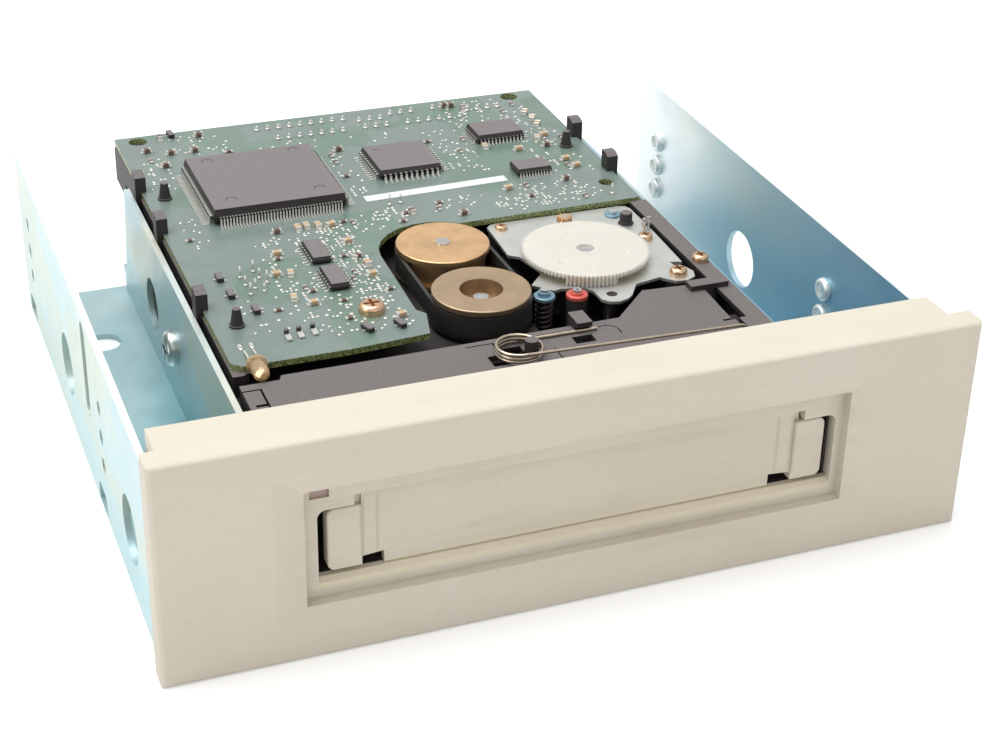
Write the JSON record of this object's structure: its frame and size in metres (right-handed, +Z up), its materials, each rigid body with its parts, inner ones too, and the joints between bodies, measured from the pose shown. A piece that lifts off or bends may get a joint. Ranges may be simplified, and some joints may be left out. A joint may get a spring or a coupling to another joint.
{
  "type": "tape drive with bay adaptor",
  "caption": "Shallow open-topped cartridge tape drive in a wide bay adaptor with a slotted bezel, sheet-metal side brackets, circuit board, belt drive and geared head lift.",
  "frame": {"origin": "under the middle of the whole unit, at the level of the bezel's lower edge", "axes": "+X right seen from the front, +Y from the bezel to the rear connectors, +Z up"},
  "size_m": [0.148, 0.157, 0.042],
  "materials": {
    "bezel_plastic": "matte moulded, aged",
    "zinc_sheet": "iridescent plated sheet",
    "plated_screw": "bright plated",
    "copper_screw": "yellow passivated",
    "dark_plastic": "fine matte moulded",
    "face_plastic": "matte moulded, aged",
    "lens_plastic": "smoky translucent",
    "lamp_epoxy": "clear yellow",
    "tinned_wire": "tinned",
    "spring_wire": "drawn wire",
    "black_wire": "oil-blackened",
    "board": "solder-masked glass laminate",
    "chip_epoxy": "fine matte moulded",
    "label_film": "matt film",
    "brass": "turned",
    "pulley_black": "satin",
    "belt_rubber": "matt",
    "roller_rubber": "ground",
    "steel": "ground",
    "plate_steel": "plated",
    "nylon": "milky nylon",
    "motor_steel": "plated",
    "bronze": "sintered bronze",
    "blue_lacquer": "lacquered nut",
    "red_lacquer": "lacquered nut",
    "head_metal": "lapped"
  },
  "bodies": {
    "drive_frame": {"bay_bezel": "bezel_plastic", "left_bracket": "zinc_sheet", "right_bracket": "zinc_sheet", "side_screws": "plated_screw", "bezel_screws": "plated_screw", "chassis": "dark_plastic", "front_cover": "dark_plastic", "drive_faceplate": "face_plastic", "door_pin": "steel", "door_spring": "spring_wire", "slide_spring": "spring_wire", "light_pipe": "lens_plastic", "status_led": "lamp_epoxy", "led_leads": "tinned_wire", "circuit_board": "board", "controller_chip": "chip_epoxy", "processor_chip": "chip_epoxy", "small_chips": "chip_epoxy", "signal_header": "dark_plastic", "header_pins": "tinned_wire", "power_connector": "dark_plastic", "power_pins": "tinned_wire", "board_posts": "dark_plastic", "board_screw": "copper_screw", "blank_label": "label_film", "drive_motor": "motor_steel", "drive_belt": "belt_rubber", "capstan_bushes": "bronze", "head_plate": "plate_steel", "deck_screws": "copper_screw", "stepper_motor": "motor_steel", "guide_post": "black_wire", "blue_studs": "steel", "blue_nuts": "blue_lacquer", "adjuster_spring": "black_wire", "stop_post": "dark_plastic", "sensor_pins": "steel"},
    "door": {"cartridge_door": "face_plastic"},
    "slide": {"cartridge_slide": "dark_plastic"},
    "motor_rotor": {"motor_shaft": "steel", "motor_pulley": "brass"},
    "capstan": {"capstan_shaft": "steel", "capstan_ring": "brass", "capstan_pulley": "pulley_black", "drive_roller": "roller_rubber"},
    "lift_gear": {"head_gear": "nylon", "lift_screw": "steel"},
    "stepper_rotor": {"stepper_shaft": "steel", "stepper_pinion": "brass"},
    "carriage": {"head_carriage": "dark_plastic", "tape_head": "head_metal", "red_stud": "steel", "red_nut": "red_lacquer"}
  },
  "joints": [
    {"name": "capstan_spin", "type": "hinge", "parent": "drive_frame", "child": "capstan", "pos_m": [0.0023, -0.0183, 0.025], "axis": [0, 0, 1], "continuous": true},
    {"name": "motor_spin", "type": "hinge", "parent": "drive_frame", "child": "motor_rotor", "pos_m": [0.002, 0.0033, 0.025], "axis": [0, 0, 1], "continuous": true},
    {"name": "lift_gear_turn", "type": "hinge", "parent": "drive_frame", "child": "lift_gear", "pos_m": [0.02805, -0.0084, 0.03], "axis": [0, 0, 1], "range_deg": [-151, 151]},
    {"name": "stepper_turn", "type": "hinge", "parent": "drive_frame", "child": "stepper_rotor", "pos_m": [0.02928, 0.00567, 0.03], "axis": [0, 0, 1], "range_deg": [-1400, 1400]},
    {"name": "head_lift", "type": "slide", "parent": "drive_frame", "child": "carriage", "axis": [0, 0, 1], "range_m": [-0.0032, 0.0032]},
    {"name": "door_swing", "type": "hinge", "parent": "drive_frame", "child": "door", "pos_m": [0, -0.0728, 0.0299], "axis": [1, 0, 0], "range_deg": [0, 84], "stiffness_Nm_per_rad": 0.0008, "springref_deg": -20.05},
    {"name": "slide_push", "type": "slide", "parent": "drive_frame", "child": "slide", "axis": [0, 1, 0], "range_m": [0, 0.0103], "stiffness_N_per_m": 60, "springref_m": -0.01, "deforming": ["slide_spring"]}
  ],
  "couplings": [
    {"joint": "motor_spin", "follows": "capstan_spin", "ratio": 1.0326},
    {"joint": "lift_gear_turn", "follows": "head_lift", "rad_per_m": 818.33},
    {"joint": "stepper_turn", "follows": "head_lift", "rad_per_m": -7439.4}
  ]
}
